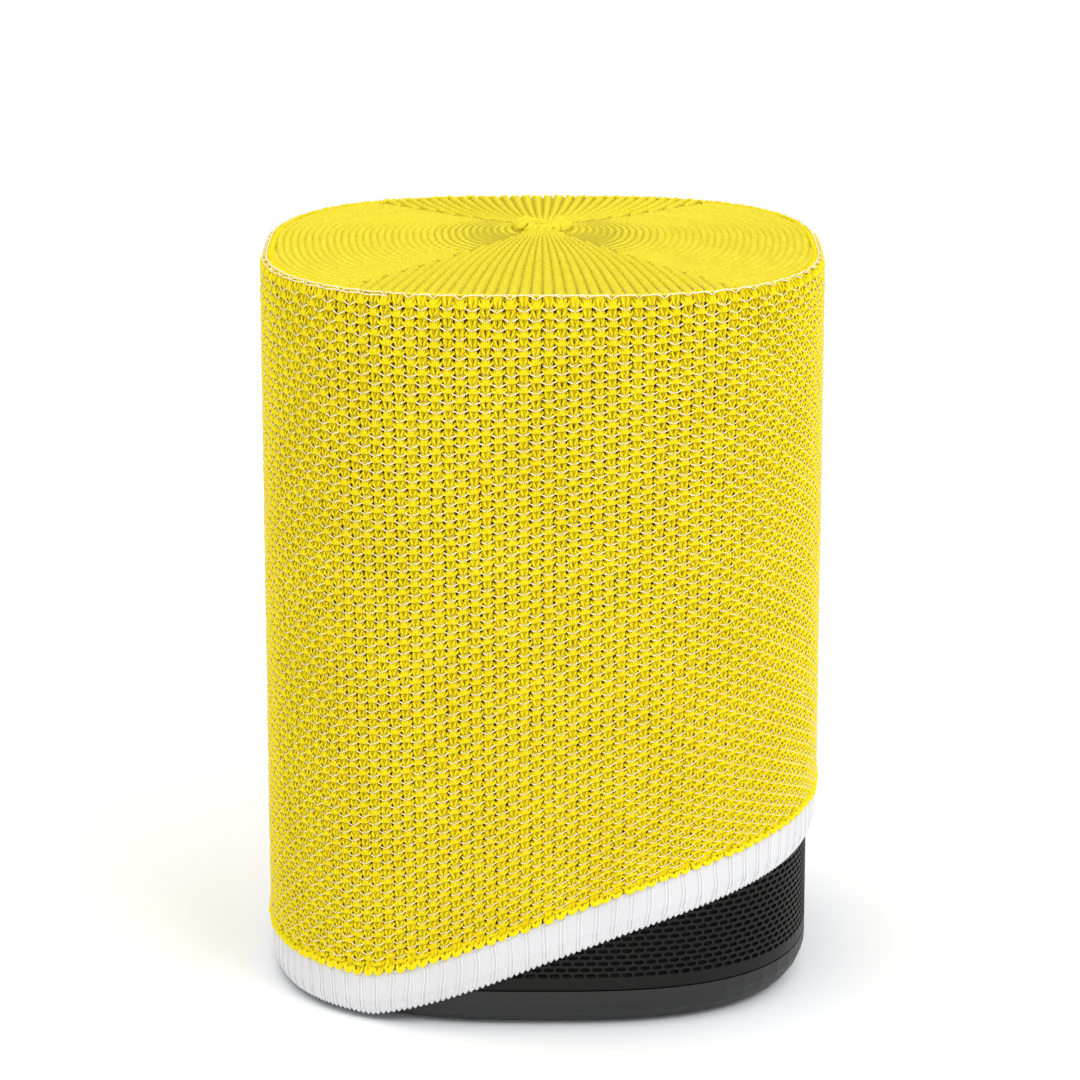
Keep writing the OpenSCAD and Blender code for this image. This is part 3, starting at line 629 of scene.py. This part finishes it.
def top_knit():
    """The ribs of the top, the ground between them darkened as painted groove shade, and the thread that
    shows in front.
    """
    pieces, beads = [], []
    ang = np.radians(np.linspace(-10, 190, 6))
    for name, wedge in crown_ribs().items():
        parts = []
        radial = name in ("front", "back")
        for path in wedge:
            if len(path) < 8:
                continue
            s = np.arange(len(path)) * (RIB_STEP if radial else ARC_STEP)
            half_gap = None if radial else path[:, 2]
            path = path[:, :2]
            t = np.gradient(path, axis=0)
            t /= np.linalg.norm(t, axis=1, keepdims=True)
            across = np.stack([-t[:, 1], t[:, 0]], -1)
            offset = RNG.uniform(0, 1)
            wobble = 0.10 * np.sin(TAU * s / 3.1 + 7 * offset) + 0.06 * np.sin(TAU * s / 1.3 + 3 * offset)
            path = path + across * wobble[:, None]
            if radial:
                rise = np.clip(s / 2.2, 0, 1)
                z = RIB_Z - 1.2 * (1 - rise) ** 2 + crown_height(path)
                reach = np.linalg.norm(path - CROWN, axis=1)
                half = 0.40 + 0.50 * np.clip(reach / 62, 0, 1)
                taper = np.minimum(1, (s[-1] - s + 0.5) / 1.2)
                ripple, tall = 0.26, 0.92
            else:
                edge = np.abs(path[:, 0] / TOP_A) ** BODY_N + np.abs(path[:, 1] / TOP_A) ** BODY_N
                z = RIB_Z + crown_height(path) - 0.7 * np.clip((edge - 0.93) / 0.07, 0, 1) ** 2
                half = 0.97 * half_gap
                taper = np.minimum(1, (np.minimum(s, s[-1] - s) + 0.4) / 1.2)
                ripple, tall = 0.24, 0.72
            phase = s[:, None] / 0.85 + offset + 0.38 * np.abs(ang - math.pi / 2)[None, :] / (math.pi / 2)
            r = 1 + ripple * np.cos(TAU * phase)
            side = (half * taper)[:, None] * r * np.cos(ang)[None, :]
            high = tall * r * taper[:, None] ** 0.5 * np.sin(ang)[None, :]
            flat = path[:, None, :] + across[:, None, :] * side[:, :, None]
            ring = np.concatenate([flat, (z[:, None] + high)[..., None]], -1)
            parts.append((ring.reshape(-1, 3), grid_faces(len(path), len(ang), False)))
            if name != "front":
                continue
            last = min(len(path) - 2, 50)
            for i in range(3, last - 5, 7):
                shift = across[i] * half[i]
                beads.append([[*(path[j] + shift), z[j] + 0.50] for j in (i, i + 2, i + 4)])
            k = min(5, last)
            beads.append([[*(path[k] + across[k] * half[k] * d), z[k] + h]
                          for d, h in ((-0.9, 0.45), (0.0, 1.0), (0.9, 0.45))])
        verts, faces = join(parts)
        pieces.append(finish(mesh_object(f"cover_top_ribs_{name}", verts, faces), "cover", "yellow_yarn",
                             "yarn_top"))
    # The ground sheet under the top's ribs, coloured with the painted groove shade
    rings = []
    for q in (1.0, 0.97, 0.8, 0.5, 0.02):
        p, _ = knit_point(np.arange(240) / 240, np.full(240, 0.0), np.full(240, 0.0))
        flat = CROWN + q * (p[:, :2] * (TOP_A / (KNIT_A - RIM_R)) - CROWN)
        z = COVER_TOP - 0.62 + crown_height(flat) - (0.7 if q == 1.0 else 0)
        rings.append(np.concatenate([flat, z[:, None]], -1))
    ground = mesh_object("cover_top_groove_shade", np.concatenate(rings), [grid_faces(5, 240, True)])
    pieces.append(finish(ground, "cover", "yellow_yarn", "yarn_groove_shade"))
    beads = np.array(beads)
    up = np.broadcast_to(np.array([0.0, 0, 1]), beads.shape)
    verts, quads, caps = sweep(beads, up, np.array([[0.10, 0.14, 0.10]]), 4)
    pieces.append(finish(mesh_object("cover_top_beige_thread", verts, [quads, caps]), "cover",
                         "white_yarn", "thread_beige"))
    return pieces


def crown_nub():
    """The gathered end of the knitting, a ring of small loops."""
    count = 22
    a = (np.arange(count) + RNG.uniform(-0.2, 0.2, count)) * TAU / count
    t = np.linspace(0, 1, 9)
    lift = 0.7 + 1.2 * np.abs(np.cos(a)) ** 2 + RNG.uniform(-0.2, 0.2, count)
    reach = 6.6 - 4.6 * t[None, :] + RNG.uniform(-0.4, 0.4, (count, 1))
    twist = a[:, None] + 0.18 * np.sin(t[None, :] * math.pi * 2)
    z = COVER_TOP + 0.2 + lift[:, None] * np.sin(t[None, :] * math.pi) ** 0.8
    p = np.stack([CROWN[0] + reach * np.cos(twist), CROWN[1] + reach * 0.9 * np.sin(twist), z], -1)
    up = np.broadcast_to(np.array([0.0, 0, 1]), p.shape)
    verts, quads, caps = sweep(p, up, np.array([[0.5, 0.75, 0.8, 0.7, 0.8, 0.7, 0.8, 0.7, 0.5]]), 8)
    return finish(mesh_object("cover_nub", verts, [quads, caps]), "cover", "yellow_yarn", "yarn_top")


def rim_thread():
    """The thread round the rim, and a second run from the left rear past the front left corner."""
    steps = 720
    share = np.arange(steps + 1) / steps
    parts = []
    for down, out, r, lo, hi in ((1.30, 0.50, 0.16, 0.0, 1.0), (2.0, 0.80, 0.13, 0.93, 1.17)):
        s = share if hi - lo == 1 else lo + (hi - lo) * share
        d = down + 0.9 * np.clip(-np.sin(TAU * s), 0, 1)
        d = d + 0.06 * np.sin(s * TAU * REPEATS) + 0.1 * np.sin(s * TAU * 7)
        p, n = knit_point(s, d, out + 0.05 * np.sin(s * TAU * 160))
        if hi - lo == 1:
            p, n = p[:-1], n[:-1]
            v, q, _ = sweep(p[None], n[None], np.full((1, steps), r), 6)
            i = np.arange(6)
            wrap = np.stack([(steps - 1) * 6 + i, (steps - 1) * 6 + (i + 1) % 6, (i + 1) % 6, i], -1)
            parts.append((v, np.concatenate([q, wrap])))
        else:
            parts.append(sweep(p[None], n[None], np.full((1, steps + 1), r), 6))
    verts, faces = join(parts)
    return finish(mesh_object("cover_rim_thread", verts, faces), "cover", "white_yarn", "thread_white")


# ---- The ribbed hem ----
def hem():
    """A ribbed band standing off the speaker, with a picot lower edge, and cords along its ribs."""
    ribs, per_rib, levels = 108, 12, 44
    cols = ribs * per_rib
    share = np.arange(cols) / cols
    phi = phi_at(share)
    base = hem_z(phi)

    def belly(t):
        return 0.45 + 1.30 * np.minimum(1, t * 3.0) ** 0.6 - 0.1 * t

    rings = []
    for k in range(levels + 1):
        t = k / levels
        picot = 0.65 * np.abs(np.sin(share * ribs * 3 * math.pi)) * max(0, 1 - t * 5)
        z = base + 0.3 + t * (HEM_W + 0.4) - picot
        rings.append(body_point(phi, z, np.full(cols, belly(t) + 0.06 * (-1) ** k)))
    for t, out in ((1.0, 0.5), (0.5, 0.4), (0.02, 0.35)):
        rings.append(body_point(phi, base + 0.3 + t * (HEM_W + 0.4), np.full(cols, out)))
    verts = np.concatenate(rings)
    faces = grid_faces(len(rings), cols, True)
    last = (len(rings) - 1) * cols
    j = np.arange(cols)
    close = np.stack([last + j, last + (j + 1) % cols, (j + 1) % cols, j], -1)
    band = finish(mesh_object("cover_hem_band", verts, [np.concatenate([faces, close])]), "cover",
                  "white_yarn", "hem_knit", "cover_hem")
    t = np.linspace(0, 1, 14)[None, :]
    start = np.concatenate([(np.arange(ribs) + d) / ribs for d in (0.0, 0.2)])[:, None]
    bend = 0.10 * np.sin(t * 2.5) + 0.05 * np.sin(start * TAU * 9 + 4 * t)
    q = phi_at(start + bend / ribs)
    up = hem_z(q) + 0.15 + t * (HEM_W - 0.1)
    p = body_point(q, up, belly(t) + 0.10 + 0 * q)
    n = np.concatenate([outward(q), np.zeros((*q.shape, 1))], -1)
    verts, quads, caps = sweep(p, n, np.full((1, 14), 0.18), 6)
    cords = finish(mesh_object("cover_hem_cords", verts, [quads, caps]), "cover", "white_yarn", "hem_cord")
    return [band, cords]


# ---- The perforated grille ----
SLOT_PITCH = 2.63
SLOT_ROW = 1.39
SLOT_HALF = 1.10
SLOT_R = 0.48
FIRST_SLOT_Z = 12.3

# Points in each of a cell's three outlines, and the window left for the rear panel
CORNERS = 12
PANEL_HALF = 21
PANEL_TOP = 61


def grille():
    """One plate cell with a stadium slot, repeated in staggered rows, and the plain band at the foot."""
    count = round(UNIT_PERIMETER * BODY_A / SLOT_PITCH)
    w, h = 0.5, SLOT_ROW / 2
    fx = [-w, -w / 2, 0, w / 2, w, w, w, w / 2, 0, -w / 2, -w, -w]
    fz = [-h, -h, -h, -h, -h, 0, h, h, h, h, h, 0]
    reach = (SLOT_HALF - SLOT_R) / SLOT_PITCH
    cr = SLOT_R / SLOT_PITCH
    d = math.sqrt(0.5)
    sx = [-reach - cr * d, -reach / 2, 0, reach / 2, reach + cr * d, reach + cr, reach + cr * d, reach / 2, 0,
          -reach / 2, -reach - cr * d, -reach - cr]
    sz = [-SLOT_R * d, -SLOT_R, -SLOT_R, -SLOT_R, -SLOT_R * d, 0, SLOT_R * d, SLOT_R, SLOT_R, SLOT_R,
          SLOT_R * d, 0]
    x = np.array(fx + sx + sx)
    z = np.array(fz + sz + sz)
    out = np.repeat([0.0, -0.04, -0.6], CORNERS)
    i = np.arange(CORNERS)
    j = (i + 1) % CORNERS
    walls = np.stack([i, j, CORNERS + j, CORNERS + i], -1)
    cell = np.concatenate([walls, walls + CORNERS])
    points = 3 * CORNERS
    rows = int((GRILLE_Z1 - 1.6 - FIRST_SLOT_Z) / SLOT_ROW)
    parts = 6
    for part in range(parts):
        r = np.arange(part * rows // parts, (part + 1) * rows // parts)
        col = np.arange(count)
        share = (col[None, :, None] + 0.5 * (r[:, None, None] % 2) + x[None, None, :]) / count + 0.75
        height = FIRST_SLOT_Z + r[:, None, None] * SLOT_ROW + z[None, None, :] + 0 * share
        if part == parts - 1:
            top_row = (np.arange(len(r)) == len(r) - 1)[:, None, None]
            rim = (z == h) & (np.arange(points) < CORNERS)
            height = np.where(top_row & rim[None, None, :], GRILLE_Z1, height)
        p = body_point(phi_at(share), height, out[None, None, :] + 0 * share)
        behind = (p[..., 1].mean(-1) > 0) & (np.abs(p[..., 0]).max(-1) < PANEL_HALF)
        keep = ~(behind & (height[..., :CORNERS].min(-1) < PANEL_TOP)).ravel()
        p = p.reshape(-1, points, 3)[keep]
        faces = (np.arange(len(p)) * points)[:, None, None] + cell[None]
        obj = mesh_object(f"grille_plate_{part}", p, [faces.reshape(-1, 4)], smooth=False)
        finish(obj, "speaker", "grille_metal", "grille_paint", *(["grille"] if part == 0 else []))
    cols = OUTLINE_STEPS
    share = np.arange(cols) / cols
    rings = [body_point(phi_at(share), np.full(cols, zz), np.full(cols, o))
             for zz, o in ((FIRST_SLOT_Z - h, 0), (GRILLE_Z0 + 0.1, 0), (GRILLE_Z0, -0.1),
                           (GRILLE_Z0, -0.75), (FIRST_SLOT_Z - h, -0.75))]
    band = mesh_object("grille_band", np.concatenate(rings), [grid_faces(5, cols, True)])
    finish(band, "speaker", "grille_metal", "grille_paint")


# ---- CAD nodes that stay ----
CAD_LOOKS = {
    "foot_rubber": dict(colour=(0.03, 0.03, 0.03), rough=0.85, bump=0.5, scale=3000.0),
    "base_plastic": dict(colour=(0.018, 0.018, 0.018), rough=0.5, bump=0.2, scale=5000.0, gloss=0.35),
    "screw_steel": dict(colour=(0.55, 0.55, 0.56), rough=0.35, metal=1.0, bump=0.2, scale=3000.0),
    "socket_plastic": dict(colour=(0.02, 0.02, 0.02), rough=0.5, bump=0.2),
    "brass_pin": dict(colour=(0.78, 0.60, 0.28), rough=0.3, metal=1.0),
    "circuit_board": dict(colour=(0.012, 0.11, 0.05), rough=0.4, coat=0.3, bump=0.4, scale=1200.0),
    "transformer_coil": dict(colour=(0.75, 0.50, 0.06), rough=0.5, bump=0.3),
    "capacitor_sleeve": dict(colour=(0.02, 0.02, 0.07), rough=0.25, coat=0.5),
    "sink_aluminium": dict(colour=(0.72, 0.73, 0.75), rough=0.4, metal=1.0, bump=0.3, scale=2500.0),
    "scrim_cloth": dict(colour=(0.004, 0.004, 0.004), rough=1.0, bump=0.5, scale=5000.0),
    "button_plastic": dict(colour=(0.04, 0.04, 0.04), rough=0.4, bump=0.15, scale=4000.0),
    "shield_steel": dict(colour=(0.68, 0.68, 0.70), rough=0.35, metal=1.0, bump=0.2, scale=2500.0),
    "chip_plastic": dict(colour=(0.015, 0.015, 0.015), rough=0.6, bump=0.2),
    "cabinet_plastic": dict(colour=(0.03, 0.03, 0.032), rough=0.55, bump=0.4, scale=2500.0),
    "gasket_rubber": dict(colour=(0.02, 0.02, 0.02), rough=0.8, bump=0.4),
    "wadding": dict(colour=(0.82, 0.82, 0.80), rough=1.0, bump=1.0, scale=700.0),
    "basket_metal": dict(colour=(0.03, 0.03, 0.032), rough=0.4, bump=0.2),
    "cone_paper": dict(colour=(0.025, 0.025, 0.028), rough=0.7, bump=0.6, scale=1800.0),
    "copper_coil": dict(colour=(0.72, 0.33, 0.15), rough=0.3, metal=1.0, bump=0.3),
    "spider_cloth": dict(colour=(0.55, 0.34, 0.10), rough=0.9, bump=0.8, scale=2500.0),
    "plated_steel": dict(colour=(0.58, 0.58, 0.60), rough=0.35, metal=1.0, bump=0.2),
    "ferrite": dict(colour=(0.03, 0.03, 0.033), rough=0.6, bump=0.3),
    "lead_rubber": dict(colour=(0.40, 0.02, 0.015), rough=0.5),
    "dome_silk": dict(colour=(0.02, 0.02, 0.025), rough=0.8, bump=0.5, scale=4000.0),
    "ring_diffuser": dict(colour=(0.80, 0.80, 0.78), rough=0.3, subsurface=0.3),
    "ribbon_plastic": dict(colour=(0.72, 0.72, 0.70), rough=0.35, bump=0.2),
}


def dress_cad():
    """Materials for the CAD nodes that no piece replaces."""
    slots = {s["node"]: s["material_slot"] for s in frame["record"]["subparts"]}
    made = {}
    for name, obj in frame["nodes"].items():
        slot = slots[name]
        if slot not in CAD_LOOKS:
            continue
        if slot not in made:
            made[slot] = material("cad_" + slot, **CAD_LOOKS[slot])
        obj.data.materials.clear()
        obj.data.materials.append(made[slot])
        obj.data.polygons.foreach_set("use_smooth", np.full(len(obj.data.polygons), True))
        obj.data.set_sharp_from_angle(angle=math.radians(28))


make_camera()
make_studio()
dress_cad()
inner = shade_liner()
yarns = side_knit() + under_knit() + top_knit() + [crown_nub(), rim_thread()] + hem()
grille()
